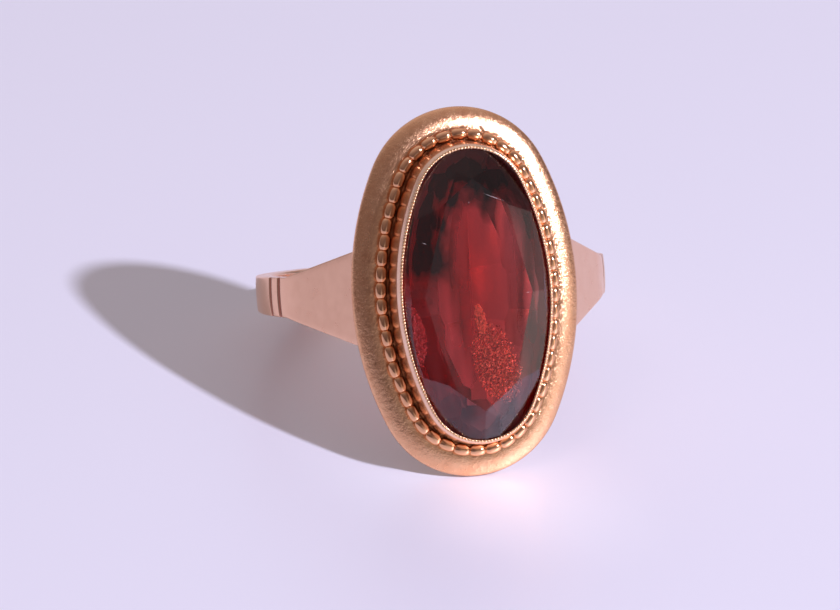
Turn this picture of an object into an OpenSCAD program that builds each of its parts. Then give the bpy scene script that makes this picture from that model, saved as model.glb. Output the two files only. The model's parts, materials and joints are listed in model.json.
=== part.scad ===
// Oval garnet dress ring, lying as it rests by itself.
// The ring is first drawn about its finger hole: X runs across the head, Z along the finger,
// and the head faces -Y. It is then tipped until the low end of the head and the back of the
// hoop both touch the floor. Lengths are millimetres, angles are degrees.

/* [Hoop] */
// Diameter of the finger hole
finger_d = 17.5; // [15:0.25:20]
// Thickness of the hoop, measured outwards
hoop_t = 0.95; // [0.8:0.05:1.3]
// Width of the hoop where it meets the shoulders
hoop_w = 2.2; // [1.8:0.1:2.6]
// Width of the hoop at the back
back_w = 1.6; // [1.2:0.1:1.8]
// Radius of the hoop's gently rounded outer face
dome_r = 10; // [6:1:20]

/* [Shoulders] */
// Angle from the middle of the head to where a shoulder starts to widen
flare_at = 66; // [64:1:68]
// Angle from the middle of the head to where a shoulder leaves the hoop's circle and runs flat
flat_at = 58.5; // [57:0.5:59.5]
// Width of a shoulder where it passes under the rim
shoulder_w = 5.3; // [4:0.1:6]
// Angle from the middle of the head to the first engraved line
line_at = 70; // [69:0.1:72]
// Angle between the two engraved lines
line_step = 6; // [4:0.1:8]
// Width of an engraved line
line_w = 0.28; // [0.14:0.02:0.34]
// Depth of an engraved line
line_depth = 0.12; // [0.08:0.02:0.2]

/* [Head] */
// Length of the head along the finger
head_l = 19.88; // [19.4:0.02:20.4]
// Unit of the 36-77-85 triangle that places the centres of the head's arcs, more is narrower
arc_unit = 0.135; // [0.132:0.001:0.138]
// Distance from the centre of the finger hole to the plane of the head's foot
head_y = 9.3; // [9.3:0.1:10]
// Distance in from the outline to the edge of the opening over the stone
border_w = 2.19; // [2.1:0.01:2.3]

/* [Rim] */
// Radius of the rim's rolled face
roll_r = 1.65; // [1.5:0.05:1.9]
// Distance of the crown of the rolled face out from the opening
roll_out = 1.05; // [0.9:0.05:1.15]
// Height of the crown above the plane of the head's foot
roll_h = 0.6; // [0.5:0.02:0.7]
// Radius of the rim's rounded outer edge
edge_r = 0.32; // [0.25:0.01:0.36]

/* [Beaded wire] */
// Number of beads round the collet
beads = 50; // [48:2:52]
// Radius of a bead
bead_r = 0.31; // [0.3:0.01:0.33]
// Radius of the wire that the beads are formed on
wire_r = 0.2; // [0.18:0.01:0.2]
// Distance of the beads' middle line out from the edge of the opening
bead_out = 0.74; // [0.72:0.01:0.78]
// Height of the beads' middle line above the rim's face
bead_rise = 0.27; // [0.25:0.01:0.28]

/* [Collet] */
// Height of the collet's top edge above the plane of the head's foot
collet_h = 3.2; // [3.2:0.02:3.4]
// Width of the ledge that carries the stone
ledge_w = 0.45; // [0.35:0.05:0.6]

/* [Garnet] */
// Height of the table above the plane of the head's foot
table_h = 3.72; // [3.6:0.02:3.9]
// Distance that the stone reaches out under the collet's edge
stone_out = 0.1; // [0.06:0.01:0.12]
// Height of the underside of the girdle above the plane of the head's foot
girdle_h = 2.82; // [2.76:0.01:2.84]
// Thickness of the girdle
girdle_t = 0.07; // [0.05:0.01:0.08]
// Slope of the narrow facets that run round the crown's edge
girdle_slope = 50; // [46:1:52]
// Slope of the first row of facets below the girdle
pavilion_slope = 46; // [43:1:47]
// Gap left between the stone and the metal
seat_gap = 0.05; // [0.04:0.01:0.06]

/* [Hidden] */
gold = [0.85, 0.6, 0.42];
red = [0.45, 0.05, 0.06];
// Blocks that only cut or bound other shapes, larger than the ring and than one shoulder
far = 40;
shoulder_block = 10;
stone_block = 5;

// Hoop
finger_r = finger_d / 2;
hoop_r = finger_r + hoop_t;

// The head's outline is four arcs: two ends of radius end_r and two sides of radius side_r. The
// centres of an end arc and a side arc form a right triangle with the head's centre, and its sides
// are whole numbers of arc_unit, so that the arcs meet exactly.
half_l = head_l / 2;
end_c = 36 * arc_unit;
side_c = 77 * arc_unit;
end_r = half_l - end_c;
side_r = end_r + 85 * arc_unit;
half_w = side_r - side_c;
// The ray on which an end arc and a side arc meet: its angle and a point far out on it.
join_a = atan2(36, 77);
join_ray = [38.5, 18];
open_end_r = end_r - border_w;
open_side_r = side_r - border_w;

// Rim: a rolled face that ends in a small round edge, which also sets the underside.
roll_c = roll_h - roll_r;
edge_o = border_w - edge_r;
edge_h = roll_c + sqrt(pow(roll_r - edge_r, 2) - pow(edge_o - roll_out, 2));
under_h = edge_h - edge_r;

// Beaded wire: the beads' middle line, and the wire's own a little lower, sunk in the rim's face.
bead_h = roll_c + sqrt(pow(roll_r, 2) - pow(bead_out - roll_out, 2)) + bead_rise;
wire_drop = 0.09;
wire_h = bead_h - wire_drop;

// Collet: a wall that leans in a little, with a ledge under the stone and a lip over it.
wall_foot = 0.4;
wall_knee = 0.24;
knee_drop = 0.42;
knee_h = collet_h - knee_drop;
lip_w = 0.08;
recess_o = stone_out + seat_gap;
ledge_o = recess_o - ledge_w;
girdle_top = girdle_h + girdle_t;

// Stone: corners of the table in one quarter, from the side to the tip.
table_side = [2.91, 0];
table_shoulder = [2.27, 2.45];
table_turn = [1.44, 5.05];
table_tip = [0, 6.17];
// Each row is a facet of the crown: the table corner that it passes through, the way it faces, its slope.
CORNER = 0;
FACES = 1;
SLOPE = 2;
crown = [
    [table_side, across(table_side, table_shoulder), 20],
    [table_shoulder, across(table_shoulder, table_turn), 12],
    [table_turn, 38, 30],
    [table_turn, across(table_turn, table_tip), 17],
    [table_tip, 74, 22]
];
girdle_facets = 36;
// Each row of the pavilion is its number of facets, its distance in from the outline and its slope.
COUNT = 0;
INSET = 1;
FALL = 2;
pavilion = [
    [32, 0, pavilion_slope],
    [16, 0.9, pavilion_slope - 8],
    [8, 2.2, pavilion_slope - 20]
];
gap_up = seat_gap / cos(girdle_slope) + facet_dip(girdle_facets, girdle_slope);
gap_down = seat_gap / cos(pavilion_slope) + facet_dip(pavilion[0][COUNT], pavilion_slope);

// Shoulders: each follows the hoop's circle to flat_at, then runs straight to the rim's edge. Behind
// the straight part the circle's slice runs on for a few degrees, so that the two overlap.
arc_lap = 8;
lap_at = flat_at - arc_lap;
flat_start = hoop_r * [sin(flat_at), -cos(flat_at)];
edge_y = -(head_y + edge_h);
flat_end = [(hoop_r + edge_y * cos(flat_at)) / sin(flat_at), edge_y];
curved_run = hoop_r * sin(flare_at - flat_at);
flat_run = norm(flat_end - flat_start);
flare = (shoulder_w - hoop_w) / 2 / (curved_run + flat_run);
shoulder_in = half_w - border_w + ledge_o;

// Rest: the tilt at which the rim's low end and the hoop's low back edge are level.
back_edge_y = hoop_r - dome_r + sqrt(dome_r * dome_r - back_w * back_w / 4);
rest_dy = back_edge_y + head_y + edge_h;
rest_dz = (half_l - edge_r) - back_w / 2;
tilt = atan2(rest_dz, rest_dy) + asin(edge_r / norm([rest_dy, rest_dz]));
rest_up = back_edge_y * sin(tilt) + back_w / 2 * cos(tilt);
lip_y = -(head_y + collet_h) * cos(tilt) - (half_l - border_w + lip_w) * sin(tilt);
hoop_back_y = back_edge_y * cos(tilt) + back_w / 2 * sin(tilt);
rest_y = -(lip_y + hoop_back_y) / 2;

// The way that the edge from corner p to corner q faces.
function across(p, q) = atan2(p[0] - q[0], q[1] - p[1]);

// Length of one side arc and of one end arc at a distance o out from the opening.
function side_run(o) = (open_side_r + o) * 2 * join_a * PI / 180;
function end_run(o) = (open_end_r + o) * (180 - 2 * join_a) * PI / 180;

// Length of the whole oval at a distance o out from the opening.
function oval_run(o) = 2 * (side_run(o) + end_run(o));

// Drop of the corners between the facets of a row, where the stone's outline curves most.
function facet_dip(count, slope) =
    pow(oval_run(stone_out) / count, 2) / (8 * (open_end_r + stone_out)) * tan(slope);

// Depth below the girdle at which a row of the pavilion starts.
function row_depth(row) =
    row == 0 ? 0
    : row_depth(row - 1) + (pavilion[row][INSET] - pavilion[row - 1][INSET]) * tan(pavilion[row - 1][FALL]);

// Place and facing on the oval, s along it from the lower end of the right-hand side arc.
function on_half(s, o) =
    s < side_run(o)
    ? let (a = -join_a + s / (open_side_r + o) * 180 / PI)
        [-side_c + (open_side_r + o) * cos(a), (open_side_r + o) * sin(a), a]
    : let (a = join_a + (s - side_run(o)) / (open_end_r + o) * 180 / PI)
        [(open_end_r + o) * cos(a), end_c + (open_end_r + o) * sin(a), a];
function on_oval(s, o) =
    let (half = side_run(o) + end_run(o))
    s < half
    ? on_half(s, o)
    : let (p = on_half(s - half, o)) [-p[0], -p[1], p[2] + 180];

// Place k of an even row round the oval, counted from the middle of the right-hand side.
function even_place(k, count, o) =
    on_oval((side_run(o) / 2 + k * oval_run(o) / count) % oval_run(o), o);

// Stands what is drawn flat, with its length along Y and its height along Z, on the front of the hoop.
module on_head() {
    translate([0, -head_y, 0]) rotate([90, 0, 0]) children();
}

// Tips what is drawn about the finger hole into the pose in which the ring rests.
module at_rest() {
    translate([0, rest_y, rest_up]) rotate([-tilt, 0, 0]) children();
}

// Sweeps a profile round the oval. Its X is the distance out from the opening and its Y is the height.
module round_oval() {
    for (turn = [0, 180]) rotate([0, 0, turn]) {
        translate([-side_c, 0, 0]) intersection() {
            rotate_extrude($fn = 240) translate([open_side_r, 0]) children();
            linear_extrude(far, center = true) polygon([
                [0, 0], [join_ray[0], -join_ray[1]], join_ray
            ]);
        }
        translate([0, end_c, 0]) intersection() {
            rotate_extrude($fn = 96) translate([open_end_r, 0]) children();
            linear_extrude(far, center = true) polygon([
                [0, 0], join_ray, [join_ray[0], far], [-join_ray[0], far], [-join_ray[0], join_ray[1]]
            ]);
        }
    }
}

// The oval as a flat outline, a distance o out from the opening: two long arcs and two round ends.
module oval(o) {
    join_y = end_c + (open_end_r + o) * sin(join_a);
    intersection() {
        translate([-side_c, 0]) circle(open_side_r + o, $fn = 240);
        translate([side_c, 0]) circle(open_side_r + o, $fn = 240);
        square([far, 2 * join_y], center = true);
    }
    for (end = [-1, 1]) translate([0, end * end_c]) circle(open_end_r + o, $fn = 96);
}

// The hoop, hoop_w wide up to the shoulders and narrowing to back_w.
module hoop() {
    front_y = -hoop_r * cos(flare_at);
    intersection() {
        difference() {
            rotate_extrude($fn = 180) intersection() {
                translate([finger_r, -hoop_w]) square([2 * hoop_t, 2 * hoop_w]);
                translate([hoop_r - dome_r, 0]) circle(dome_r, $fn = 360);
            }
            engraved_lines();
        }
        rotate([90, 0, 90]) linear_extrude(far, center = true) polygon([
            [front_y, -hoop_w / 2], [hoop_r, -back_w / 2], [far, -back_w / 2],
            [far, back_w / 2], [hoop_r, back_w / 2], [front_y, hoop_w / 2]
        ]);
    }
}

// Two fine grooves straight across each side of the hoop.
module engraved_lines() {
    for (side = [-1, 1], k = [0, 1])
        rotate([0, 0, side * (line_at + k * line_step) - 90])
            translate([hoop_r - line_depth, -line_w / 2, -far / 2])
                cube([far, line_w, far]);
}

// One shoulder, on the right: its outline seen along the finger, cut to its widening outline.
module shoulder() {
    intersection() {
        linear_extrude(far, center = true) difference() {
            union() {
                polygon([[0, 0], flat_start, flat_end, [shoulder_in, edge_y]]);
                intersection() {
                    circle(hoop_r, $fn = 180);
                    polygon([
                        [0, 0], far * [sin(flare_at), -cos(flare_at)], far * [sin(lap_at), -cos(lap_at)]
                    ]);
                }
            }
            circle(finger_r, $fn = 180);
            translate([shoulder_in - far, -far / 2]) square(far);
        }
        widening_outline();
    }
}

// A wedge that stands square to the flat of the right-hand shoulder and widens towards the rim.
module widening_outline() {
    run = curved_run + 2 * flat_run;
    translate([flat_start[0], flat_start[1], 0]) rotate([0, 0, flat_at - 90]) rotate([0, -90, 0])
        linear_extrude(2 * shoulder_block, center = true) polygon([
            [-hoop_w / 2, curved_run],
            [hoop_w / 2, curved_run],
            [hoop_w / 2 + flare * run, curved_run - run],
            [-hoop_w / 2 - flare * run, curved_run - run]
        ]);
}

// Profile of the rim: a flat underside, a small round edge and the rolled face.
module rim_profile() {
    edge_c = [edge_o, edge_h];
    edge_end = atan2(edge_h - roll_c, edge_o - roll_out);
    intersection() {
        translate([roll_out, roll_c]) circle(roll_r, $fn = 180);
        union() {
            polygon([
                [ledge_o, under_h], [edge_o, under_h], edge_c,
                edge_c + roll_r * [cos(edge_end), sin(edge_end)], [ledge_o, roll_r]
            ]);
            translate(edge_c) circle(edge_r, $fn = 96);
        }
    }
}

// Profile of the collet: ledge, recess for the girdle and lip on the inside, leaning wall outside.
module collet_profile() {
    polygon([
        [ledge_o, under_h],
        [ledge_o, girdle_h - gap_down - (stone_out - ledge_o) * tan(pavilion_slope)],
        [recess_o, girdle_h - gap_down + seat_gap * tan(pavilion_slope)],
        [recess_o, girdle_top + gap_up - seat_gap * tan(girdle_slope)],
        [0, girdle_top + gap_up + stone_out * tan(girdle_slope)],
        [0, collet_h],
        [lip_w, collet_h],
        [wall_knee, knee_h],
        [wall_foot, 0],
        [wall_foot, under_h]
    ]);
}

// The round wire and its beads.
module beaded_wire() {
    round_oval() translate([bead_out, wire_h]) circle(wire_r, $fn = 24);
    for (k = [0 : beads - 1]) {
        p = even_place(k + 0.5, beads, bead_out);
        translate([p[0], p[1], bead_h]) sphere(bead_r, $fn = 24);
    }
}

// All the soldered gold: hoop, shoulders, rim, beaded wire and collet.
module ring_mount() {
    color(gold) at_rest() {
        hoop();
        shoulder();
        mirror([1, 0, 0]) shoulder();
        on_head() {
            round_oval() {
                rim_profile();
                collet_profile();
            }
            beaded_wire();
        }
    }
}

// Everything on the stone's side of a sloping plane through point p, facing the way a in plan.
// A positive slope falls away outwards, for the crown. Its mirror cuts the pavilion.
module under_plane(p, h, a, slope) {
    translate([p[0], p[1], h]) rotate([0, 0, a]) rotate([0, slope, 0])
        translate([-far / 2, -far / 2, -far]) cube(far);
}

// The cut stone: its outline and table, four mirrored quarters of crown facets, a row of narrow facets
// round the crown's edge, and the rows of the pavilion.
module garnet() {
    color(red) at_rest() on_head() intersection() {
        translate([0, 0, -stone_block]) linear_extrude(stone_block + table_h) oval(stone_out);
        intersection_for (facet = crown, mx = [1, -1], my = [1, -1])
            under_plane([mx * facet[CORNER][0], my * facet[CORNER][1]], table_h,
                atan2(my * sin(facet[FACES]), mx * cos(facet[FACES])), facet[SLOPE]);
        intersection_for (k = [0 : girdle_facets - 1])
            let (p = even_place(k + 0.5, girdle_facets, stone_out))
                under_plane(p, girdle_top, p[2], girdle_slope);
        mirror([0, 0, 1]) intersection_for (row = [0 : len(pavilion) - 1])
            intersection_for (k = [0 : pavilion[row][COUNT] - 1])
                let (
                    place = row == 0 ? k + 0.5 : k,
                    p = even_place(place, pavilion[row][COUNT], stone_out - pavilion[row][INSET])
                ) under_plane(p, row_depth(row) - girdle_h, p[2], pavilion[row][FALL]);
    }
}

ring_mount();
garnet();
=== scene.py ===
"""Looks of an oval garnet ring: gold with a satin rim and a beaded border, and a faceted stone."""

import json
import math

import bmesh
import bpy
import numpy as np
from bpy.props import FloatProperty, FloatVectorProperty, IntProperty, PointerProperty
from mathutils import Matrix, Vector


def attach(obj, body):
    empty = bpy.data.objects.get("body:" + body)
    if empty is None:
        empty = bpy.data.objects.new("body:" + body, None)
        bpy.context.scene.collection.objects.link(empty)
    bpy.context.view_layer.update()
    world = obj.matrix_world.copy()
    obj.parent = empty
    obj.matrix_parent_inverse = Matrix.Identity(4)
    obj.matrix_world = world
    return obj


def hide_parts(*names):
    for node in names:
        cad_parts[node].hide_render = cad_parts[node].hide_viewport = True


bl_info = {
    "name": "Garnet Ring",
    "version": (1, 0, 0),
    "blender": (4, 5, 0),
    "location": "3D View > Sidebar > Garnet Ring",
    "description": "Builds the gold mount and the faceted garnet of an oval dress ring",
    "category": "Object",
}

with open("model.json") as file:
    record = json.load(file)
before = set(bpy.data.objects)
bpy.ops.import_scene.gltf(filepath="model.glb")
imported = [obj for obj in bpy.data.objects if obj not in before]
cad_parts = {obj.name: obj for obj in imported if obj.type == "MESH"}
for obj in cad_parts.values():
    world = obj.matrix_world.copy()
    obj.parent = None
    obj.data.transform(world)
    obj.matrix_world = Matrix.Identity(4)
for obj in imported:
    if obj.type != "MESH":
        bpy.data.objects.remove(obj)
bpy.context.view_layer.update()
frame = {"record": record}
BORE = next(m for m in frame["record"]["mounts"] if m["name"] == "finger")

# Sizes below are in millimetres, as the part's source gives them, and MM turns them into metres.
MM = 0.001
MOUNT = "ring_mount"
STONE = "garnet"

# The arcs of the head's outline: their centres form a right triangle with the head's centre, in arc units.
SHORT_LEG = 36.0
LONG_LEG = 77.0
LONG_SIDE = 85.0
JOIN_ANGLE = math.atan2(SHORT_LEG, LONG_LEG)

# How many steps a swept profile takes round the head.
SWEEP_STEPS = 720
# The open back's wall stands this far inside the opening's edge, and the stone this far clear of its seat.
BACK_IN = 0.3
STONE_GAP = 0.05

# The round edges of the band, outside and on the finger's side.
OUTER_ROUND = 0.07
INNER_ROUND = 0.16
# An engraved line's floor and mouth, as shares of half its width.
LINE_FLOOR = 0.9
LINE_MOUTH = 1.15
# The hoop's face turns from flat to domed over this many degrees.
DOME_EASE = 4.0
# What a full tarnish takes from the gold's red, green and blue.
TARNISH = (0.07, 0.16, 0.20)


class GarnetRingSizes(bpy.types.PropertyGroup):
    """Sizes of the gold mount, in millimetres and degrees."""

    hoop_thick: FloatProperty(name="Hoop thickness", description="Thickness of the hoop", default=0.95)
    hoop_wide: FloatProperty(
        name="Hoop width", description="Width of the hoop at the shoulders", default=2.2)
    back_wide: FloatProperty(name="Back width", description="Width of the hoop at the back", default=1.6)
    dome: FloatProperty(
        name="Hoop dome", description="Radius of the hoop's gently rounded face", default=10.0)
    shoulder_wide: FloatProperty(
        name="Shoulder width", description="Width of a shoulder at the rim", default=5.3)
    flare_at: FloatProperty(
        name="Flare", description="Angle at which a shoulder starts to widen", default=66.0)
    flat_at: FloatProperty(
        name="Flat", description="Angle at which a shoulder leaves the hoop's circle", default=58.5)
    line_at: FloatProperty(
        name="Engraved line", description="Angle of the first engraved line", default=70.0)
    line_step: FloatProperty(name="Line step", description="Angle between the engraved lines", default=6.0)
    line_wide: FloatProperty(name="Line width", description="Width of an engraved line", default=0.28)
    line_deep: FloatProperty(name="Line depth", description="Depth of an engraved line", default=0.12)
    head_long: FloatProperty(name="Head length", description="Length of the head", default=19.88)
    arc_unit: FloatProperty(
        name="Arc unit", description="Unit of the triangle that places the arcs", default=0.135)
    head_out: FloatProperty(
        name="Head distance", description="From the finger hole's centre to the rim's edge", default=9.3)
    border: FloatProperty(
        name="Border width", description="From the head's outline to the opening", default=2.19)
    roll_r: FloatProperty(name="Rim roll", description="Radius of the rim's rolled face", default=1.65)
    roll_out: FloatProperty(
        name="Rim crown", description="From the opening to the top of the rim's face", default=1.05)
    roll_h: FloatProperty(name="Rim height", description="Height of the top of the rim's face", default=0.6)
    edge_r: FloatProperty(name="Rim edge", description="Radius of the rim's outer edge", default=0.32)
    beads: IntProperty(name="Beads", description="Number of beads in the beaded wire", default=50)
    bead_r: FloatProperty(name="Bead radius", description="Radius of a bead", default=0.31)
    bead_out: FloatProperty(
        name="Bead distance", description="From the opening to the beads' middle line", default=0.74)
    bead_rise: FloatProperty(
        name="Bead height", description="Height of the beads' middle above the rim's face", default=0.27)
    collet_h: FloatProperty(name="Collet height", description="Height of the collet's top edge", default=3.2)
    grains: IntProperty(name="Milgrain", description="Number of grains round the collet's edge", default=220)


class GarnetRingStone(bpy.types.PropertyGroup):
    """Sizes of the cut stone, in millimetres and degrees, and its clearness."""

    table_h: FloatProperty(name="Table height", description="Height of the table", default=3.72)
    stone_out: FloatProperty(
        name="Stone reach", description="How far the stone reaches under the collet's edge", default=0.1)
    girdle_h: FloatProperty(
        name="Girdle height", description="Height of the girdle's underside", default=2.82)
    girdle_t: FloatProperty(name="Girdle thickness", description="Thickness of the girdle", default=0.07)
    girdle_slope: FloatProperty(
        name="Edge facets", description="Slope of the crown's edge facets", default=50.0)
    pavilion_slope: FloatProperty(
        name="Pavilion", description="Slope of the facets below the girdle", default=46.0)
    index: FloatProperty(name="Refraction", description="Refractive index of the stone", default=1.77)
    depth: FloatProperty(
        name="Depth of colour", description="How fast the stone swallows light, per metre", default=1060.0)


class GarnetRingColours(bpy.types.PropertyGroup):
    """Colours of the gold, the stone and the stage."""

    gold: FloatVectorProperty(
        name="Gold", description="Colour of the reddish gold", subtype="COLOR", default=(0.92, 0.53, 0.30))
    pink_gold: FloatVectorProperty(
        name="Pink gold", description="Colour of the hoop and shoulders",
        subtype="COLOR", default=(0.99, 0.61, 0.41))
    stain: FloatVectorProperty(
        name="Stain", description="Colour of the dirt in the engraved lines",
        subtype="COLOR", default=(0.66, 0.26, 0.18))
    # A paler, pinker copy of the rim's gold: the bright floor's reflection on the wall, painted into its
    # colour.
    collet: FloatVectorProperty(
        name="Collet", description="Colour of the collet's wall",
        subtype="COLOR", default=(1.0, 0.70, 0.50))
    # A paler, yellower copy of the rim's gold: a painted highlight on the grains.
    milgrain: FloatVectorProperty(
        name="Milgrain", description="Colour of the bright grains of the collet's edge",
        subtype="COLOR", default=(1.0, 0.70, 0.42))
    garnet: FloatVectorProperty(
        name="Garnet", description="Colour that the stone lets through",
        subtype="COLOR", default=(0.83, 0.05, 0.06))
    floor: FloatVectorProperty(
        name="Floor", description="Colour of the floor", subtype="COLOR", default=(0.79, 0.78, 0.86))


def sizes():
    """The mount's sizes from the scene."""
    return bpy.context.scene.garnet_ring_sizes


def stone_sizes():
    """The stone's sizes from the scene."""
    return bpy.context.scene.garnet_ring_stone


def colours():
    """The colours from the scene."""
    return bpy.context.scene.garnet_ring_colours


def ring_pose():
    """The matrix from the ring's own millimetres to its resting place, which the finger hole gives."""
    along = Vector(BORE["axis"]).normalized()
    across = Vector((1.0, 0.0, 0.0))
    back = along.cross(across)
    turn = Matrix((across, back, along)).transposed().to_4x4()
    return Matrix.Translation(Vector(BORE["pos_m"])) @ turn @ Matrix.Scale(MM, 4)


def ring_to_world(points):
    """Places an array of points given in the ring's own millimetres."""
    m = np.array(ring_pose())
    return points @ m[:3, :3].T + m[:3, 3]


def head_to_world(points):
    """Places points of the head: x across it, y along it, h above the plane of the rim's edge."""
    x, y, h = points[..., 0], points[..., 1], points[..., 2]
    return ring_to_world(np.stack([x, -(sizes().head_out + h), y], axis=-1))


class Oval:
    """The edge of the opening over the stone, as a closed line whose arcs ease into each other."""

    def __init__(self, fine=7200, ease=1.2):
        s = sizes()
        self.end_r = s.head_long / 2 - SHORT_LEG * s.arc_unit - s.border
        side_r = self.end_r + LONG_SIDE * s.arc_unit
        self.half_w = side_r - LONG_LEG * s.arc_unit
        side_run = side_r * 2 * JOIN_ANGLE
        end_run = self.end_r * (math.pi - 2 * JOIN_ANGLE)
        self.run = 2 * (side_run + end_run)
        t = (np.arange(fine) + 0.5) * self.run / fine
        part = (t + side_run / 2) % (self.run / 2)
        bend = np.where(part < side_run, 1 / side_r, 1 / self.end_r)
        window = max(3, int(ease / self.run * fine) | 1)
        kernel = np.hanning(window + 2)[1:-1]
        kernel /= kernel.sum()
        wrapped = np.concatenate([bend[-window:], bend, bend[:window]])
        bend = np.convolve(wrapped, kernel, "same")[window:-window]
        step = self.run / fine
        self.bend = bend * (2 * math.pi / (bend.sum() * step))
        facing = np.concatenate([[0.0], np.cumsum(self.bend) * step])
        middle = (facing[1:] + facing[:-1]) / 2
        line = np.cumsum(np.stack([-np.sin(middle), np.cos(middle)], axis=1) * step, axis=0)
        line = np.concatenate([[[0.0, 0.0]], line])
        line -= (line[fine // 4] + line[3 * fine // 4]) / 2
        line -= (line[0] + line[fine // 2]) / 2
        self.at = np.linspace(0.0, self.run, fine + 1)
        self.facing = facing
        self.line = line

    def place(self, t, out):
        """Points and facing angles at places t along the edge, a distance out from it."""
        t = np.asarray(t) % self.run
        a = np.interp(t, self.at, self.facing)
        x = np.interp(t, self.at, self.line[:, 0]) + out * np.cos(a)
        y = np.interp(t, self.at, self.line[:, 1]) + out * np.sin(a)
        return np.stack([x, y], axis=-1), a

    def even(self, count, out, shift=0.0):
        """Places t that cut the line a distance out from the edge into equal lengths."""
        length = np.concatenate([[0.0], np.cumsum((1 + out * self.bend) * self.run / len(self.bend))])
        wanted = (np.arange(count) + shift) * length[-1] / count % length[-1]
        return np.interp(wanted, length, self.at), length[-1]


def distances(points):
    """How far along a line of points each one lies."""
    return np.concatenate([[0.0], np.cumsum(np.hypot(*np.diff(points, axis=0).T))])


def mesh_from_grid(name, points, lay, close_along=True):
    """Makes a smooth object from rows of points, each row a closed ring."""
    rows, cols = points.shape[:2]
    i = np.arange(rows if close_along else rows - 1)[:, None]
    j = np.arange(cols)[None, :]
    next_i = (i + 1) % rows
    next_j = (j + 1) % cols
    corners = (i * cols + j, next_i * cols + j, next_i * cols + next_j, i * cols + next_j)
    faces = np.stack(np.broadcast_arrays(*corners), axis=-1)
    return mesh_object(name, points.reshape(-1, 3), faces.reshape(-1, 4), lay.reshape(-1, 3))


def link_object(name, data):
    """Puts a new object into the scene."""
    thing = bpy.data.objects.new(name, data)
    bpy.context.scene.collection.objects.link(thing)
    return thing


def store_finish(mesh, lay):
    """Stores the finish's own coordinates, in millimetres, with a mesh's points."""
    store = mesh.attributes.new("lay", "FLOAT_VECTOR", "POINT")
    store.data.foreach_set("vector", np.ascontiguousarray(lay, dtype=np.float32).reshape(-1))


def mesh_object(name, points, faces, lay, smooth=True):
    """Makes a mesh object with its finish's coordinates and with its faces turned outwards."""
    mesh = bpy.data.meshes.new(name)
    mesh.from_pydata(points.tolist(), [], faces.tolist())
    mesh.update()
    mesh.polygons.foreach_set("use_smooth", [smooth] * len(mesh.polygons))
    store_finish(mesh, lay)
    turned = bmesh.new()
    turned.from_mesh(mesh)
    bmesh.ops.recalc_face_normals(turned, faces=turned.faces)
    turned.to_mesh(mesh)
    turned.free()
    return link_object(name, mesh)


def gold_piece(piece, name, colour, **finish):
    """Makes a piece stand for the mount and ride with the ring. Gives it gold, whose tree it returns."""
    material = gold_material(name, colour, **finish)
    piece.data.materials.append(material)
    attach(piece, "root")
    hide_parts(MOUNT)
    return material.node_tree


def stone_piece(piece, material):
    """Makes a piece stand for the garnet, ride with the ring and take a material."""
    piece.data.materials.append(material)
    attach(piece, "root")
    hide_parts(STONE)


def arc(centre, radius, start, end, count):
    """Points of an arc in a profile. Angles are in degrees."""
    a = np.radians(np.linspace(start, end, count))
    return [(centre[0] + radius * math.cos(k), centre[1] + radius * math.sin(k)) for k in a]


def sweep(oval, profile, name):
    """Sweeps a closed profile, (distance out, height) in millimetres, round the oval."""
    t, run = oval.even(SWEEP_STEPS, 1.0)
    points = np.zeros((SWEEP_STEPS, len(profile), 3))
    lay = np.zeros_like(points)
    lay[:, :, 0] = (np.arange(SWEEP_STEPS) / SWEEP_STEPS * run)[:, None]
    lay[:, :, 1] = distances(np.array(profile))
    for j, (out, height) in enumerate(profile):
        points[:, j, :2] = oval.place(t, out)[0]
        points[:, j, 2] = height
        lay[:, j, 2] = out
    return mesh_from_grid(name, head_to_world(points), lay)


def shader_tree(name):
    """A new material, its tree and its principled shader."""
    material = bpy.data.materials.new(name)
    material.use_nodes = True
    tree = material.node_tree
    return material, tree, tree.nodes["Principled BSDF"]


def add(tree, kind, **values):
    """Adds a node and sets its own values and the sockets named by their labels."""
    node = tree.nodes.new(kind)
    for key, value in values.items():
        if key.startswith("in_"):
            label = key[3:].replace("_", " ")
            next(k for k in node.inputs if k.name.lower() == label.lower()).default_value = value
        else:
            setattr(node, key, value)
    return node


def feed(tree, socket, value):
    """Gives a socket a number or a colour, or links it to another node's output."""
    if isinstance(value, bpy.types.NodeSocket):
        tree.links.new(value, socket)
    elif socket.type == "RGBA":
        socket.default_value = (*value, 1.0)
    else:
        socket.default_value = value


def calculate(tree, operation, first, second):
    """Works out a value from two others."""
    node = add(tree, "ShaderNodeMath", operation=operation)
    feed(tree, node.inputs[0], first)
    feed(tree, node.inputs[1], second)
    return node.outputs["Value"]


def finish_coordinates(tree, stretch=(1.0, 1.0, 1.0)):
    """The stored coordinates of the finish, in millimetres, times a stretch on each axis."""
    store = add(tree, "ShaderNodeAttribute", attribute_name="lay")
    scale = add(tree, "ShaderNodeVectorMath", operation="MULTIPLY")
    scale.inputs[1].default_value = stretch
    tree.links.new(store.outputs["Vector"], scale.inputs[0])
    return scale.outputs["Vector"]


def finish_axes(tree):
    """The stored coordinates of the finish, in millimetres, one output for each axis."""
    parts = add(tree, "ShaderNodeSeparateXYZ")
    tree.links.new(finish_coordinates(tree), parts.inputs["Vector"])
    return parts.outputs


def body_coordinates(tree):
    """Object coordinates in millimetres."""
    place = add(tree, "ShaderNodeTexCoord")
    scale = add(tree, "ShaderNodeVectorMath", operation="SCALE", in_scale=1 / MM)
    tree.links.new(place.outputs["Object"], scale.inputs[0])
    return scale.outputs["Vector"]


def noise(tree, vector, scale, detail, rough=0.55):
    """A noise pattern's value."""
    node = add(tree, "ShaderNodeTexNoise", in_scale=scale, in_detail=detail, in_roughness=rough)
    tree.links.new(vector, node.inputs["Vector"])
    return node.outputs["Fac"]


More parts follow.
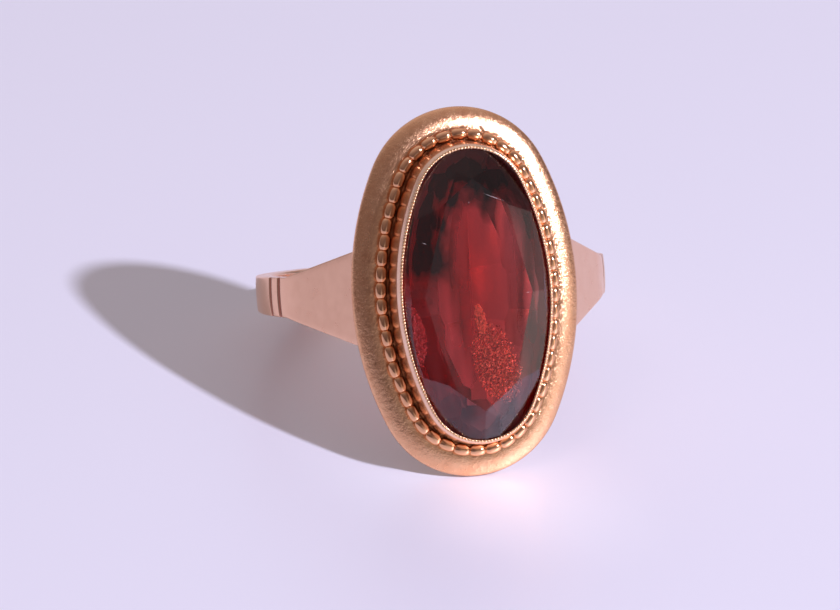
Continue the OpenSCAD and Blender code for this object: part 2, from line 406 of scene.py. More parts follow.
def stretch_range(tree, value, low, high, to_low=0.0, to_high=1.0):
    """Maps one range of a value to another, and holds it there."""
    node = add(tree, "ShaderNodeMapRange")
    limits = {"From Min": low, "From Max": high, "To Min": to_low, "To Max": to_high}
    for socket, number in limits.items():
        node.inputs[socket].default_value = number
    tree.links.new(value, node.inputs["Value"])
    return node.outputs["Result"]


def bump(tree, height, strength, distance, below=None):
    """Adds relief to a surface, on top of the relief below."""
    node = add(tree, "ShaderNodeBump", in_strength=strength, in_distance=distance * MM)
    tree.links.new(height, node.inputs["Height"])
    if below is not None:
        tree.links.new(below, node.inputs["Normal"])
    return node.outputs["Normal"]


def mix_colour(tree, factor, first, second):
    """Mixes two colours by a value. Each is a colour or another node's output."""
    node = add(tree, "ShaderNodeMix", data_type="RGBA")
    feed(tree, node.inputs["Factor"], factor)
    feed(tree, node.inputs["A"], first)
    feed(tree, node.inputs["B"], second)
    return node.outputs["Result"]


def plain_material(name, colour, rough, metallic=0.0):
    """A material of one colour, and its shader."""
    material, _, shader = shader_tree(name)
    shader.inputs["Base Color"].default_value = (*colour, 1.0)
    shader.inputs["Roughness"].default_value = rough
    shader.inputs["Metallic"].default_value = metallic
    return material, shader


def gold_material(name, colour, rough, relief, grain, pits=0.0, tarnish=1.0):
    """Gold whose polish varies softly, with fine relief, faint tarnish and, where worn, small dents."""
    material, tree, shader = shader_tree(name)
    shader.inputs["Metallic"].default_value = 1.0
    place = body_coordinates(tree)
    soft = noise(tree, place, scale=1.4, detail=3.0)
    fine = noise(tree, place, scale=grain, detail=4.0, rough=0.6)
    dull = [c * (1.0 - tarnish * loss) for c, loss in zip(colour, TARNISH)]
    tint = mix_colour(tree, stretch_range(tree, soft, 0.3, 0.7), colour, dull)
    tree.links.new(tint, shader.inputs["Base Color"])
    normal = bump(tree, fine, relief, 0.02)
    uneven = soft
    if pits:
        uneven = noise(tree, place, scale=4.2, detail=5.0, rough=0.7)
        normal = bump(tree, stretch_range(tree, uneven, 0.4, 0.7), pits, 0.03, normal)
    tree.links.new(stretch_range(tree, uneven, 0.3, 0.7, *rough), shader.inputs["Roughness"])
    tree.links.new(normal, shader.inputs["Normal"])
    return material


def rim_edge_height():
    """Height of the centre of the rim's round edge."""
    s = sizes()
    reach = s.border - s.edge_r - s.roll_out
    return s.roll_h - s.roll_r + math.sqrt((s.roll_r - s.edge_r) ** 2 - reach ** 2)


class Shoulder:
    """A shoulder seen along the finger: its flat face leaves the hoop and runs to the head."""

    def __init__(self):
        s = sizes()
        flat_at = math.radians(s.flat_at)
        flare_at = math.radians(s.flare_at)
        self.finger_r = BORE["dims"]["r_mm"]
        self.hoop_r = self.finger_r + s.hoop_thick
        self.out_way = np.array([math.sin(flat_at), -math.cos(flat_at)])
        self.run_way = np.array([-math.cos(flat_at), -math.sin(flat_at)])
        self.start = self.hoop_r * self.out_way
        self.end_y = -(s.head_out + rim_edge_height())
        self.run = (self.end_y - self.start[1]) / self.run_way[1]
        self.curved_run = self.hoop_r * math.sin(flare_at - flat_at)
        self.flare = (s.shoulder_wide - s.hoop_wide) / 2 / (self.curved_run + self.run)

    def half_width(self, point):
        """Half the shoulder's width at a point. It grows evenly from where the flare starts."""
        reach = float((point - self.start) @ self.run_way)
        return sizes().hoop_wide / 2 + self.flare * max(0.0, reach + self.curved_run)

    def cuts(self):
        """The cuts through the shoulder, from under the stone to the hoop, as section() takes them."""
        back_x = Oval().half_w - BACK_IN
        end_x = (self.start + self.run * self.run_way)[0]
        points = []
        for along in np.linspace(0.0, 1.0, 6)[::-1]:
            outer = np.array([end_x + (back_x - end_x) * along, self.end_y])
            inner = np.array([back_x, -math.sqrt(self.finger_r ** 2 - back_x ** 2)])
            points.append((outer, inner))
        for run in np.linspace(self.run, 0.0, 24)[1:]:
            outer = self.start + run * self.run_way
            inner = math.sqrt(self.finger_r ** 2 - run ** 2) * self.out_way + run * self.run_way
            points.append((outer, inner))
        return [(o, i, self.half_width(o), self.half_width(i), 0.0, 0.0) for o, i in points]


class GARNETRING_OT_band(bpy.types.Operator):
    """Make the hoop and its flat shoulders"""

    bl_idname = "garnetring.band"
    bl_label = "Hoop and shoulders"

    def execute(self, context):
        shoulder = Shoulder()
        cuts = shoulder.cuts() + self.hoop_cuts(shoulder)
        half = np.array([self.section(*cut) for cut in cuts])
        run = distances(np.array([cut[0] for cut in cuts]))
        lay = np.zeros_like(half)
        lay[..., 0] = run[:, None]
        lay[..., 1] = 0.1 * np.arange(half.shape[1])
        lay[..., 2] = np.array([cut[-1] for cut in cuts])[:, None]
        lay_other = lay[::-1].copy()
        lay_other[..., 0] = 2 * run[-1] - lay_other[..., 0]
        points = np.concatenate([half, half[::-1] * np.array([-1.0, 1.0, 1.0])])
        lay = np.concatenate([lay, lay_other])
        band = mesh_from_grid("hoop_and_shoulders", ring_to_world(points), lay, close_along=False)
        self.close_ends(band, *points.shape[:2])
        tree = gold_piece(
            band, "polished pink gold", colours().pink_gold, rough=(0.20, 0.28), relief=0.05, grain=9.0,
            tarnish=0.3)
        self.stain_lines(tree)
        return {"FINISHED"}

    @staticmethod
    def hoop_cuts(shoulder):
        """The cuts from the shoulder's start to the hoop's back, closer together at the engraved lines."""
        s = sizes()
        half_line = math.degrees(s.line_wide / 2 / shoulder.hoop_r)
        lines = (s.line_at, s.line_at + s.line_step)
        angles = list(np.arange(s.flat_at, 180.0, 0.9)[1:])
        for line in lines:
            for share in (0.45, LINE_FLOOR, LINE_MOUTH, 1.6):
                angles += [line - share * half_line, line + share * half_line]
            angles.append(line)
        front_y = -shoulder.hoop_r * math.cos(math.radians(s.flare_at))
        cuts = []
        for degrees in sorted(angles):
            a = math.radians(degrees)
            way = np.array([math.sin(a), -math.cos(a)])
            outer = shoulder.hoop_r * way
            inner = shoulder.finger_r * way
            if degrees < s.flare_at:
                half_o = shoulder.half_width(outer)
                half_i = shoulder.half_width(inner)
            else:
                share = (outer[1] - front_y) / (shoulder.hoop_r - front_y)
                half_o = (s.hoop_wide + (s.back_wide - s.hoop_wide) * share) / 2
                half_i = half_o
            dome = np.clip((degrees - s.flare_at) / DOME_EASE, 0.0, 1.0)
            off = min(abs(degrees - line) for line in lines) / half_line
            depth = s.line_deep * np.clip((LINE_MOUTH - off) / (LINE_MOUTH - LINE_FLOOR), 0.0, 1.0)
            cuts.append((outer, inner, half_o, half_i, dome, depth))
        return cuts

    @staticmethod
    def section(outer, inner, half_o, half_i, dome, depth):
        """One cut through the band, as a ring of points. dome is its share of the hoop's full dome."""
        dome_r = sizes().dome
        thick = float(np.hypot(*(outer - inner)))
        way = (outer - inner) / thick
        face = []
        for z in np.linspace(-1.0, 1.0, 15) * (half_o - OUTER_ROUND):
            sag = dome * (dome_r - math.sqrt(dome_r ** 2 - z ** 2))
            face.append((thick - sag - depth, z))
        face_end = face[-1][0]
        edge = arc((face_end - OUTER_ROUND, half_o - OUTER_ROUND), OUTER_ROUND, 22.5, 90.0, 4)
        edge += arc((INNER_ROUND, half_i - INNER_ROUND), INNER_ROUND, 90.0, 157.5, 4)
        finger_side = [(0.0, z) for z in np.linspace(1.0, -1.0, 11) * (half_i - INNER_ROUND)]
        ring = face + edge + finger_side + [(u, -z) for u, z in edge[::-1]]
        return [(*(inner + u * way), z) for u, z in ring]

    @staticmethod
    def stain_lines(tree):
        """Darkens the engraved lines, whose depth is the third of the finish's coordinates."""
        shader = tree.nodes["Principled BSDF"]
        colour = shader.inputs["Base Color"]
        share = stretch_range(tree, finish_axes(tree)["Z"], 0.01, 0.08)
        tree.links.new(calculate(tree, "SUBTRACT", 1.0, share), shader.inputs["Metallic"])
        tree.links.new(mix_colour(tree, share, colour.links[0].from_socket, colours().stain), colour)

    @staticmethod
    def close_ends(band, rows, cols):
        """Closes the two hidden ends under the head."""
        mesh = bmesh.new()
        mesh.from_mesh(band.data)
        mesh.verts.ensure_lookup_table()
        for start in (0, (rows - 1) * cols):
            mesh.faces.new([mesh.verts[start + k] for k in range(cols)]).smooth = False
        bmesh.ops.recalc_face_normals(mesh, faces=mesh.faces)
        mesh.to_mesh(band.data)
        mesh.free()


class GARNETRING_OT_rim(bpy.types.Operator):
    """Make the rolled rim of the head"""

    bl_idname = "garnetring.rim"
    bl_label = "Rolled rim"

    def execute(self, context):
        s = sizes()
        roll_c = s.roll_h - s.roll_r
        edge = (s.border - s.edge_r, rim_edge_height())
        under = edge[1] - s.edge_r
        edge_end = math.degrees(math.atan2(edge[1] - roll_c, edge[0] - s.roll_out))
        profile = [(0.1, under), (0.5, under), (1.0, under), (1.4, under)]
        profile += arc(edge, s.edge_r, -90, edge_end, 12)
        profile += arc((s.roll_out, roll_c), s.roll_r, edge_end, 90.0, 30)[1:]
        profile += [(0.6, s.roll_h), (0.1, s.roll_h)]
        rim = sweep(Oval(), profile, "rolled_rim")
        tree = gold_piece(
            rim, "satin gold", colours().gold, rough=(0.18, 0.31), relief=0.34, grain=6.5, pits=0.34)
        self.polish_inside(tree)
        return {"FINISHED"}

    @staticmethod
    def polish_inside(tree):
        """Polishes the slope between the crown of the rim's face and the beads."""
        satin = tree.nodes["Principled BSDF"].inputs["Roughness"]
        crown = sizes().roll_out
        share = stretch_range(tree, finish_axes(tree)["Z"], crown, crown + 0.4, 0.4, 1.0)
        tree.links.new(calculate(tree, "MULTIPLY", satin.links[0].from_socket, share), satin)


class GARNETRING_OT_beaded_wire(bpy.types.Operator):
    """Make the beaded wire round the collet"""

    bl_idname = "garnetring.beaded_wire"
    bl_label = "Beaded wire"

    def execute(self, context):
        s = sizes()
        oval = Oval()
        steps = 16
        sides = 22
        neck = 0.15
        total = s.beads * steps
        t, run = oval.even(total, s.bead_out)
        pitch = run / s.beads
        from_crown = s.bead_out - s.roll_out
        bead_h = s.roll_h - s.roll_r + math.sqrt(s.roll_r ** 2 - from_crown ** 2) + s.bead_rise
        place, facing = oval.place(t, s.bead_out)
        rng = np.random.default_rng(7)
        swell = 1 + 0.025 * rng.standard_normal(s.beads)
        shift = 0.02 * rng.standard_normal(s.beads)
        around = 2 * math.pi * np.arange(sides) / sides
        points = np.zeros((total, sides, 3))
        lay = np.zeros_like(points)
        for i in range(total):
            bead, step = divmod(i, steps)
            even = step / steps - 0.5
            u = math.sin(even * math.pi)
            r = neck + (s.bead_r * swell[bead] - neck) * (1 - abs(u) ** 2.6) ** 0.5
            along = (u * 0.5 - even) * pitch
            out = r * np.cos(around) + (shift[bead] if step else 0.0)
            points[i, :, 0] = place[i, 0] - math.sin(facing[i]) * along + out * math.cos(facing[i])
            points[i, :, 1] = place[i, 1] + math.cos(facing[i]) * along + out * math.sin(facing[i])
            points[i, :, 2] = bead_h + r * np.sin(around)
            lay[i, :, 0] = i / total * run
            lay[i, :, 1] = r * around
        wire = mesh_from_grid("beaded_wire", head_to_world(points), lay)
        gold_piece(wire, "beaded gold", colours().gold, rough=(0.09, 0.15), relief=0.12, grain=9.0)
        return {"FINISHED"}


class GARNETRING_OT_collet(bpy.types.Operator):
    """Make the collet and its milgrained edge"""

    bl_idname = "garnetring.collet"
    bl_label = "Collet and milgrain"

    def execute(self, context):
        oval = Oval()
        wall = sweep(oval, self.wall_profile(oval), "collet")
        # The wall's paler gold holds a painted reflection of the bright floor.
        gold_piece(wall, "collet gold", colours().collet, rough=(0.16, 0.23), relief=0.08, grain=7.0)
        self.milgrain(oval)
        return {"FINISHED"}

    @staticmethod
    def wall_profile(oval):
        """The wall's cross-section: seat and recess of the stone, edge, outside and foot."""
        s = sizes()
        q = stone_sizes()
        slope = math.radians(q.pavilion_slope)
        under = rim_edge_height() - s.edge_r
        top = s.collet_h - 0.08
        # The stone's facets touch a smooth cone at their middles and reach past it at their edges.
        facet = oval.even(1, q.stone_out)[1] / PAVILION[0][0]
        past = facet ** 2 / (8 * (oval.end_r + q.stone_out)) * math.tan(slope)
        seat_h = q.girdle_h - STONE_GAP / math.cos(slope) - past
        seat_low = seat_h - (q.stone_out + BACK_IN) * math.tan(slope)
        recess = q.stone_out + STONE_GAP
        inside = [
            (-BACK_IN, under), (-BACK_IN, seat_low), (recess, seat_h + STONE_GAP * math.tan(slope)),
            (recess, q.girdle_h + q.girdle_t + 0.08), (0.015, s.collet_h - 0.09), (0.0, s.collet_h - 0.07),
        ]
        edge = [
            (0.02, s.collet_h - 0.07), (0.06, top), (0.10, top), (0.125, top - 0.02), (0.16, top - 0.10),
            (0.21, top - 0.25), (0.235, top - 0.33), (0.25, top - 0.40), (0.265, top - 0.50),
        ]
        outside = [(0.30, 2.2), (0.335, 1.7), (0.37, 1.2), (0.40, 0.85), (0.40, 0.55)]
        foot = [(0.12, 0.45), (0.12, under)]
        return inside + edge + outside + foot

    @staticmethod
    def milgrain(oval):
        """Makes the row of small grains that runs round the wall's edge."""
        s = sizes()
        grain_out = 0.06
        t, run = oval.even(s.grains, grain_out)
        place, facing = oval.place(t, grain_out)
        wide_r = 0.10
        long_r = run / s.grains * 0.48
        high_r = 0.11
        ball = bmesh.new()
        bmesh.ops.create_icosphere(ball, subdivisions=2, radius=1.0)
        ball.verts.index_update()
        shape = np.array([v.co[:] for v in ball.verts])
        tris = np.array([[v.index for v in f.verts] for f in ball.faces])
        ball.free()
        rng = np.random.default_rng(11)
        points = []
        faces = []
        for k, a in enumerate(facing):
            size = 1 + 0.05 * rng.standard_normal()
            out, along, up = (shape * np.array([wide_r, long_r, high_r]) * size).T
            x = place[k, 0] + out * math.cos(a) - along * math.sin(a)
            y = place[k, 1] + out * math.sin(a) + along * math.cos(a)
            points.append(np.stack([x, y, s.collet_h - high_r + up], axis=1))
            faces.append(tris + k * len(shape))
        points = np.concatenate(points)
        grains = mesh_object("milgrain", head_to_world(points), np.concatenate(faces), points)
        # The grains' paler gold is a painted highlight.
        gold_piece(
            grains, "milgrain gold", colours().milgrain, rough=(0.22, 0.3), relief=0.05, grain=9.0)


# The crown in one quarter: a corner of the table, the way the facet faces and its slope, in degrees.
TABLE_SIDE = (2.91, 0.0)
TABLE_SHOULDER = (2.27, 2.45)
TABLE_TURN = (1.44, 5.05)
TABLE_TIP = (0.0, 6.17)


def across(p, q):
    """The way that the edge from corner p to corner q faces, in degrees."""
    return math.degrees(math.atan2(p[0] - q[0], q[1] - p[1]))


CROWN = [
    (TABLE_SIDE, across(TABLE_SIDE, TABLE_SHOULDER), 20.0),
    (TABLE_SHOULDER, across(TABLE_SHOULDER, TABLE_TURN), 12.0),
    (TABLE_TURN, 38.0, 30.0),
    (TABLE_TURN, across(TABLE_TURN, TABLE_TIP), 17.0),
    (TABLE_TIP, 74.0, 22.0),
]
GIRDLE_FACETS = 36
# The pavilion's rows of facets: how many, how far inside the girdle they start, how many degrees flatter
# than the first row they are, and by what share of a facet they are turned.
PAVILION = ((32, 0.0, 0.0, 0.5), (16, 0.9, 8.0, 0.0), (8, 2.2, 20.0, 0.0))


class GARNETRING_OT_stone(bpy.types.Operator):
    """Cut the garnet"""

    bl_idname = "garnetring.stone"
    bl_label = "Garnet"

    def execute(self, context):
        stone = self.cut_stone(Oval())
        mesh = bpy.data.meshes.new("cut_garnet")
        stone.to_mesh(mesh)
        stone.free()
        points = np.array([v.co[:] for v in mesh.vertices])
        worn = mesh.attributes.new("worn", "FLOAT", "FACE")
        steep = -math.cos(math.radians(stone_sizes().pavilion_slope - 3.0))
        worn.data.foreach_set("value", [self.wear(face, steep) for face in mesh.polygons])
        store_finish(mesh, points)
        mesh.vertices.foreach_set("co", head_to_world(points).reshape(-1))
        mesh.update()
        stone_piece(link_object("cut_garnet", mesh), self.garnet_material())
        return {"FINISHED"}

    def cut_stone(self, oval):
        """Cuts an upright block of the girdle's outline into the stone."""
        q = stone_sizes()
        outline, _ = oval.place(oval.even(144, q.stone_out)[0], q.stone_out)
        stone = bmesh.new()
        low = [stone.verts.new((x, y, -5.0)) for x, y in outline]
        high = [stone.verts.new((x, y, q.table_h)) for x, y in outline]
        count = len(low)
        for k in range(count):
            stone.faces.new((low[k], low[(k + 1) % count], high[(k + 1) % count], high[k]))
        stone.faces.new(high)
        stone.faces.new(low[::-1])
        for corner, faces_way, slope in CROWN:
            a = math.radians(faces_way)
            for mx in (1, -1):
                for my in (1, -1):
                    way = math.atan2(my * math.sin(a), mx * math.cos(a))
                    self.cut(stone, (mx * corner[0], my * corner[1], q.table_h), way, slope, 1)
        places = oval.even(GIRDLE_FACETS, q.stone_out, 0.5)[0]
        self.cut_round(stone, oval, places, q.stone_out, q.girdle_h + q.girdle_t, q.girdle_slope, 1)
        height = q.girdle_h
        inward = 0.0
        slope = q.pavilion_slope
        for count, inset, flatter, turn in PAVILION:
            height -= (inset - inward) * math.tan(math.radians(slope))
            inward = inset
            slope = q.pavilion_slope - flatter
            out = q.stone_out - inset
            self.cut_round(stone, oval, oval.even(count, out, turn)[0], out, height, slope, -1)
        bmesh.ops.dissolve_limit(stone, angle_limit=math.radians(0.2), verts=stone.verts, edges=stone.edges)
        bmesh.ops.recalc_face_normals(stone, faces=stone.faces)
        return stone

    def cut_round(self, stone, oval, places, out, height, slope, up):
        """Cuts a row of facets of one slope all round the stone."""
        for (x, y), a in zip(*oval.place(places, out)):
            self.cut(stone, (x, y, height), a, slope, up)

    @staticmethod
    def wear(face, steep):
        """How matt a facet is: polished above the girdle, worn on the back, most in its middle and top."""
        if face.normal.z > -0.1:
            return 0.0
        if face.normal.z > steep:
            return 0.8
        return 1.3 if face.center.y > -1.5 else 0.9

    @staticmethod
    def cut(stone, point, way, slope, up):
        """Cuts one facet: what lies outside its plane goes, and the cut is closed."""
        tilt = math.radians(slope)
        outward = math.sin(tilt)
        normal = Vector((outward * math.cos(way), outward * math.sin(way), up * math.cos(tilt)))
        geometry = stone.verts[:] + stone.edges[:] + stone.faces[:]
        cut = bmesh.ops.bisect_plane(
            stone, geom=geometry, dist=1e-6, plane_co=Vector(point), plane_no=normal, clear_outer=True)
        edges = [g for g in cut["geom_cut"] if isinstance(g, bmesh.types.BMEdge)]
        if edges:
            bmesh.ops.contextual_create(stone, geom=edges)

    @staticmethod
    def dark_back_patches(tree, back):
        """Dark, opaque patches on the back of the stone, thick at its top and upper left."""
        axes = finish_axes(tree)
        patches = noise(tree, finish_coordinates(tree, (1.0, 0.6, 1.0)), scale=0.8, detail=2.0, rough=0.5)
        ragged = stretch_range(tree, patches, 0.3, 0.7, -0.8, 0.8)
        shares = []
        for axis, low, high in (("X", -0.5, -1.7), ("Y", 0.0, 1.5), ("Y", 3.9, 5.3)):
            place = calculate(tree, "ADD", axes[axis], ragged)
            shares.append(stretch_range(tree, place, low, high))
        left, upper, top = shares
        patch_share = calculate(tree, "MAXIMUM", calculate(tree, "MULTIPLY", left, upper), top)
        return calculate(tree, "MULTIPLY", patch_share, stretch_range(tree, back, 0.0, 1.0))

    def garnet_material(self):
        """Clear dark red stone that swallows green and blue light with depth."""
        q = stone_sizes()
        material, tree, shader = shader_tree("dark red garnet")
        shader.inputs["IOR"].default_value = q.index
        worn = add(tree, "ShaderNodeAttribute", attribute_name="worn").outputs["Fac"]
        streaks = noise(tree, finish_coordinates(tree, (0.9, 0.2, 0.9)), scale=1.0, detail=0.5, rough=0.4)
        matt = calculate(tree, "MULTIPLY", worn, stretch_range(tree, streaks, 0.35, 0.6, 0.22, 0.58))
        tree.links.new(calculate(tree, "ADD", matt, 0.01), shader.inputs["Roughness"])
        furrows = bump(tree, calculate(tree, "MULTIPLY", streaks, worn), 0.3, 0.5)
        tree.links.new(furrows, shader.inputs["Normal"])
        # The back of the stone turns dark and opaque in patches, most at its top and upper left.
        dark_back_patches = self.dark_back_patches(tree, worn)
        dark = mix_colour(tree, dark_back_patches, (1.0, 1.0, 1.0), (0.012, 0.014, 0.010))
        tree.links.new(dark, shader.inputs["Base Color"])
        tree.links.new(calculate(tree, "SUBTRACT", 1.0, dark_back_patches), shader.inputs["Transmission Weight"])
        swallow = add(tree, "ShaderNodeVolumeAbsorption", in_density=q.depth)
        swallow.inputs["Color"].default_value = (*colours().garnet, 1.0)
        tree.links.new(swallow.outputs["Volume"], tree.nodes["Material Output"].inputs["Volume"])
        return material


# Each pale sliver is its two ends on the stone's face: x across and y along, in millimetres. The first is a
# painted highlight along the table's upper right edge; the others are scratches.
SCRATCHES_AND_GLINT = (
    # Painted highlight: the light that the table's upper right edge catches.
    ((0.55, 5.35), (1.95, 4.75)),
    ((-0.30, 4.95), (-0.22, 4.90)),
    ((-2.85, 2.95), (-2.62, 2.86)),
    ((2.55, -0.05), (2.75, -0.02)),
)

# Clouds of metallic specks: a cloud's middle (x across, y along and height), half its width and length, its
# turn in degrees, how far it bows to the right, its count, the specks' lean to the right and its spread, and
# their colour. The first two clouds are painted light, not inclusions: a red crescent on the left that
# stands for light reflected inside the stone, and a small orange-red spot that is a painted highlight. The
# third is a cloud of inclusions.
SPECK_CLOUDS = (
    # Painted reflection: a red crescent of light that the stone reflects inside it on the left.
    dict(middle=(-3.15, -1.9, 2.72), half_w=0.42, half_l=1.90, turn=7.0, bow=-0.32, count=1800,
         lean=0.0, stray=2.0, colour=(1.0, 0.30, 0.32)),
    # Painted highlight: a small orange-red spot of light inside the stone.
    dict(middle=(0.08, -1.30, 2.92), half_w=0.30, half_l=0.85, turn=8.0, bow=0.0, count=900,
         lean=10.0, stray=2.0, colour=(1.0, 0.30, 0.20)),
    # A cloud of inclusions.
    dict(middle=(0.80, -3.6, 2.60), half_w=1.25, half_l=2.30, turn=14.0, bow=0.0, count=2400,
         lean=10.0, stray=5.0, colour=(1.0, 0.62, 0.40)),
)

# A speck of size 1: a flat grain with three corners and two low tips.
SPECK_POINTS = np.array([(1, 0, 0), (-0.5, 0.87, 0), (-0.5, -0.87, 0), (0, 0, 0.015), (0, 0, -0.015)])
SPECK_FACES = np.array([(0, 1, 3), (1, 2, 3), (2, 0, 3), (1, 0, 4), (2, 1, 4), (0, 2, 4)])

# Half the width and half the height of a sliver, scratch or painted highlight, in its middle.
SLIVER_WIDE = 0.014
SLIVER_HIGH = 0.004
SLIVER_FACES = np.array(
    [(0, 2, 4, 6), (7, 5, 3, 1), (0, 1, 3, 2), (2, 3, 5, 4), (4, 5, 7, 6), (6, 7, 1, 0)])


class GARNETRING_OT_inclusions(bpy.types.Operator):
    """Make the garnet's inclusions and scratches, and the specks and the sliver that paint reflections and a
    highlight into it
    """

    bl_idname = "garnetring.inclusions"
    bl_label = "Inclusions"

    def execute(self, context):
        rng = np.random.default_rng(5)
        for number, glint_and_inclusion_cloud in enumerate(SPECK_CLOUDS):
            self.glint_and_inclusion_cloud(f"cloud_{number + 1}", rng, **glint_and_inclusion_cloud)
        # Pale material of the scratches and of the painted highlight.
        material, _ = plain_material("scratch_and_painted_glint", (0.45, 0.38, 0.36), 0.5)
        for number, (start, end) in enumerate(SCRATCHES_AND_GLINT):
            self.scratch_and_painted_glint(f"scratch_{number + 1}", np.array(start), np.array(end), material)
        return {"FINISHED"}

    @staticmethod
    def glint_and_inclusion_cloud(name, rng, middle, half_w, half_l, turn, bow, count, lean, stray, colour):
        """Makes one cloud of small metallic specks inside the stone; the clouds serve both as inclusions and
        as painted reflections and highlights.
        """
        spread = rng.standard_normal((count, 3)) * (0.55, 0.55, 0.12)
        reach = np.hypot(spread[:, 0], spread[:, 1])[:, None]
        spread[:, :2] *= np.tanh(reach) / reach
        a = math.radians(turn)
        x = spread[:, 0] * half_w + bow * spread[:, 1] ** 2
        y = spread[:, 1] * half_l
        turned_x = x * math.cos(a) - y * math.sin(a)
        turned_y = x * math.sin(a) + y * math.cos(a)
        points = []
        faces = []
        for k, centre in enumerate(np.stack([turned_x, turned_y, spread[:, 2]], axis=1)):
            tip, side = np.radians(rng.normal((0.0, lean), stray))
            spin = Matrix.Rotation(rng.uniform(0, 6), 3, "Z")
            pose = Matrix.Rotation(side, 3, "Y") @ Matrix.Rotation(tip, 3, "X") @ spin
            speck = SPECK_POINTS * rng.uniform(0.03, 0.09)
            points.append(speck @ np.array(pose).T + centre + middle)
            faces.append(SPECK_FACES + k * len(SPECK_POINTS))
        points = np.concatenate(points)
        piece = mesh_object(name, head_to_world(points), np.concatenate(faces), points, smooth=False)
        stone_piece(piece, plain_material(name, colour, 0.15, metallic=1.0)[0])

    def scratch_and_painted_glint(self, name, start, end, material):
        """Makes one thin pale sliver that lies on the stone; the slivers serve both as scratches and as a
        painted highlight along the table's edge.
        """
        along = (end - start) / np.hypot(*(end - start))
        side = np.array([-along[1], along[0]]) * SLIVER_WIDE
        middle = (start + end) / 2
        corners = []
        for place in (start, middle + side, end, middle - side):
            height = self.crown_height(*place)
            corners += [(*place, height + SLIVER_HIGH), (*place, height - SLIVER_HIGH)]
        points = np.array(corners)
        piece = mesh_object(name, head_to_world(points), SLIVER_FACES, points, smooth=False)
        stone_piece(piece, material)

    @staticmethod
    def crown_height(x, y):
        """Height of the crown above a place in plan."""
        height = stone_sizes().table_h
        for (px, py), faces_way, slope in CROWN:
            a = math.radians(faces_way)
            reach = (abs(x) - px) * math.cos(a) + (abs(y) - py) * math.sin(a)
            height = min(height, stone_sizes().table_h - reach * math.tan(math.radians(slope)))
        return height


# The room's light: a dim colour from everywhere, and soft lobes. A lobe has the way that it comes from, how
# narrow it is and its colour.
ROOM = (0.080, 0.058, 0.072)
LOBES = (
    ((0.10, 0.05, 1.0), 2.0, (0.22, 0.18, 0.17)),
    ((0.80, -0.60, 0.13), 26.0, (1.15, 1.07, 1.02)),
    ((0.25, -0.97, 0.04), 20.0, (0.6, 0.58, 0.6)),
    ((0.0, 1.0, 0.5), 1.5, (0.46, 0.44, 0.48)),
    ((-0.80, -0.30, 0.45), 3.0, (0.10, 0.085, 0.085)),
)

# The camera that was fitted to the photograph: angles in degrees, distance and aim in metres.
CAMERA_TURN = math.radians(12.65)
CAMERA_LIFT = math.radians(29.18)
CAMERA_ROLL = math.radians(2.06)
CAMERA_DISTANCE = 0.26
CAMERA_AIM = (-0.00055, BORE["pos_m"][1], 0.00356)
# How many of the photograph's pixels a millimetre takes up at the aim, and how many the photograph is wide.
PIXELS_PER_MM = 17.965
PHOTO_WIDE = 840
SENSOR_WIDE = 36.0


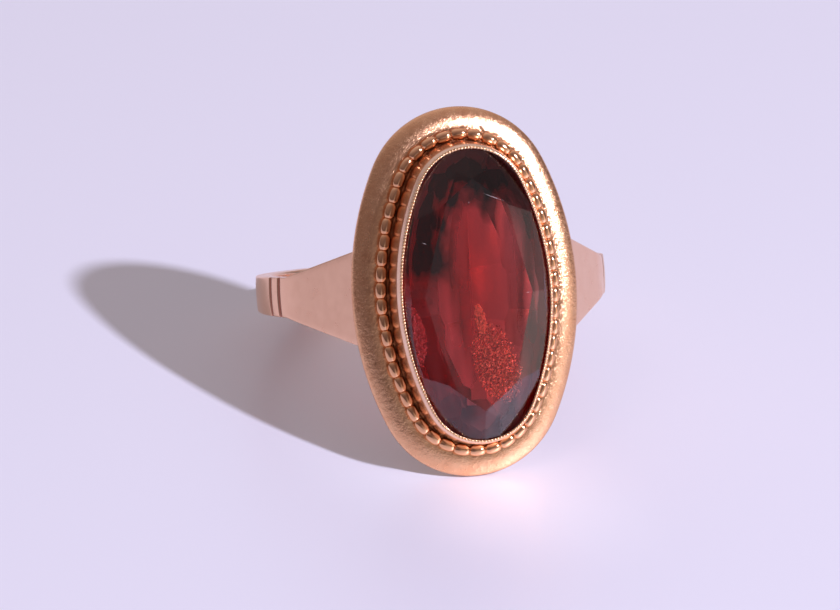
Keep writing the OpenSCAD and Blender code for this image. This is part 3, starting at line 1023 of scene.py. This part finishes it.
class GARNETRING_OT_stage(bpy.types.Operator):
    """Set up the floor, the light and the camera"""

    bl_idname = "garnetring.stage"
    bl_label = "Stage"

    def execute(self, context):
        scene = context.scene
        scene.view_settings.view_transform = "Standard"
        bpy.ops.mesh.primitive_circle_add(
            vertices=128, radius=1.2, fill_type="NGON", location=(0.0, 0.0, 0.0))
        floor = context.object
        floor.name = "floor"
        floor.data.materials.append(self.paper_material())
        self.world(scene)
        self.key_light()
        self.glint()
        self.camera(scene)
        return {"FINISHED"}

    @staticmethod
    def paper_material():
        """Plain pale paper."""
        material, shader = plain_material("pale paper", colours().floor, 0.45)
        shader.inputs["Specular IOR Level"].default_value = 1.0
        shader.inputs["Coat Weight"].default_value = 1.0
        shader.inputs["Coat Roughness"].default_value = 0.42
        shader.inputs["Coat IOR"].default_value = 1.7
        return material

    @staticmethod
    def world(scene):
        """A dim room, brighter overhead and to the right."""
        world = bpy.data.worlds.new("soft studio")
        scene.world = world
        world.use_nodes = True
        tree = world.node_tree
        tree.nodes.clear()
        place = add(tree, "ShaderNodeTexCoord")
        room = add(tree, "ShaderNodeBackground", in_strength=1.0, in_color=(*ROOM, 1.0))
        total = room.outputs["Background"]
        for way, narrow, colour in LOBES:
            dot = add(tree, "ShaderNodeVectorMath", operation="DOT_PRODUCT")
            dot.inputs[1].default_value = Vector(way).normalized()
            tree.links.new(place.outputs["Generated"], dot.inputs[0])
            front = calculate(tree, "MAXIMUM", dot.outputs["Value"], 0.0)
            glow = add(tree, "ShaderNodeBackground", in_color=(*colour, 1.0))
            tree.links.new(calculate(tree, "POWER", front, narrow), glow.inputs["Strength"])
            both = add(tree, "ShaderNodeAddShader")
            tree.links.new(total, both.inputs[0])
            tree.links.new(glow.outputs["Background"], both.inputs[1])
            total = both.outputs["Shader"]
        tree.links.new(total, add(tree, "ShaderNodeOutputWorld").inputs["Surface"])

    def key_light(self):
        """A small round light high on the right, in front of the ring."""
        light = bpy.data.lights.new("key", "AREA")
        light.shape = "DISK"
        light.size = 0.034
        light.color = (0.79, 0.78, 1.0)
        light.energy = 10.7
        self.hang(light, Vector((0.0, 0.0, 0.006)), Vector((0.527, -0.593, 0.609)), 0.9)

    def glint(self):
        """A soft spot on the paper, where the polished gold throws light."""
        light = bpy.data.lights.new("glint", "SPOT")
        light.color = (1.0, 0.92, 0.90)
        light.energy = 1.25
        light.spot_size = math.radians(2.1)
        light.spot_blend = 1.0
        light.shadow_soft_size = 0.004
        self.hang(light, Vector((0.0006, -0.0114, 0.0)), Vector((0.5, -0.55, 0.67)), 0.25)

    @staticmethod
    def hang(light, aim, way, distance):
        """Hangs a light at a distance from what it is aimed at."""
        lamp = link_object(light.name, light)
        way = way.normalized()
        lamp.location = aim + way * distance
        lamp.rotation_euler = way.to_track_quat("Z", "Y").to_euler()

    @staticmethod
    def camera(scene):
        """A long lens at the photograph's angle."""
        level = Vector((-math.sin(CAMERA_TURN), -math.cos(CAMERA_TURN), 0.0))
        back = level * math.cos(CAMERA_LIFT) + Vector((0.0, 0.0, math.sin(CAMERA_LIFT)))
        lens = bpy.data.cameras.new("camera")
        lens.lens = PIXELS_PER_MM * CAMERA_DISTANCE / MM * SENSOR_WIDE / PHOTO_WIDE
        lens.sensor_width = SENSOR_WIDE
        lens.clip_start = 0.01
        lens.clip_end = 5.0
        camera = link_object("camera", lens)
        right = Vector((math.cos(CAMERA_TURN), -math.sin(CAMERA_TURN), 0.0))
        up = back.cross(right)
        tilted_right = right * math.cos(CAMERA_ROLL) + up * math.sin(CAMERA_ROLL)
        tilted_up = back.cross(tilted_right)
        turn_matrix = Matrix((tilted_right, tilted_up, back)).transposed()
        place = Matrix.Translation(Vector(CAMERA_AIM) + back * CAMERA_DISTANCE)
        camera.matrix_world = place @ turn_matrix.to_4x4()
        scene.camera = camera


PIECES = (
    GARNETRING_OT_band,
    GARNETRING_OT_rim,
    GARNETRING_OT_beaded_wire,
    GARNETRING_OT_collet,
    GARNETRING_OT_stone,
    GARNETRING_OT_inclusions,
    GARNETRING_OT_stage,
)


class GARNETRING_PT_panel(bpy.types.Panel):
    """The ring's pieces, in the order in which they are made"""

    bl_idname = "GARNETRING_PT_panel"
    bl_label = "Garnet Ring"
    bl_space_type = "VIEW_3D"
    bl_region_type = "UI"
    bl_category = "Garnet Ring"

    def draw(self, context):
        for piece in PIECES:
            self.layout.operator(piece.bl_idname)
        for group in ("garnet_ring_sizes", "garnet_ring_stone", "garnet_ring_colours"):
            box = self.layout.box()
            settings = getattr(context.scene, group)
            for name in settings.bl_rna.properties.keys():
                if name not in ("rna_type", "name"):
                    box.prop(settings, name)


GROUPS = (GarnetRingSizes, GarnetRingStone, GarnetRingColours)


def register():
    """Registers the classes and the settings."""
    for item in (*GROUPS, *PIECES, GARNETRING_PT_panel):
        bpy.utils.register_class(item)
    bpy.types.Scene.garnet_ring_sizes = PointerProperty(type=GarnetRingSizes)
    bpy.types.Scene.garnet_ring_stone = PointerProperty(type=GarnetRingStone)
    bpy.types.Scene.garnet_ring_colours = PointerProperty(type=GarnetRingColours)


def unregister():
    """Takes the settings and the classes away again."""
    for name in ("garnet_ring_sizes", "garnet_ring_stone", "garnet_ring_colours"):
        delattr(bpy.types.Scene, name)
    for item in reversed((*GROUPS, *PIECES, GARNETRING_PT_panel)):
        bpy.utils.unregister_class(item)


def main():
    """Builds the ring and its stage."""
    register()
    bpy.ops.garnetring.band()
    bpy.ops.garnetring.rim()
    bpy.ops.garnetring.beaded_wire()
    bpy.ops.garnetring.collet()
    bpy.ops.garnetring.stone()
    bpy.ops.garnetring.inclusions()
    bpy.ops.garnetring.stage()


if __name__ == "__main__":
    main()
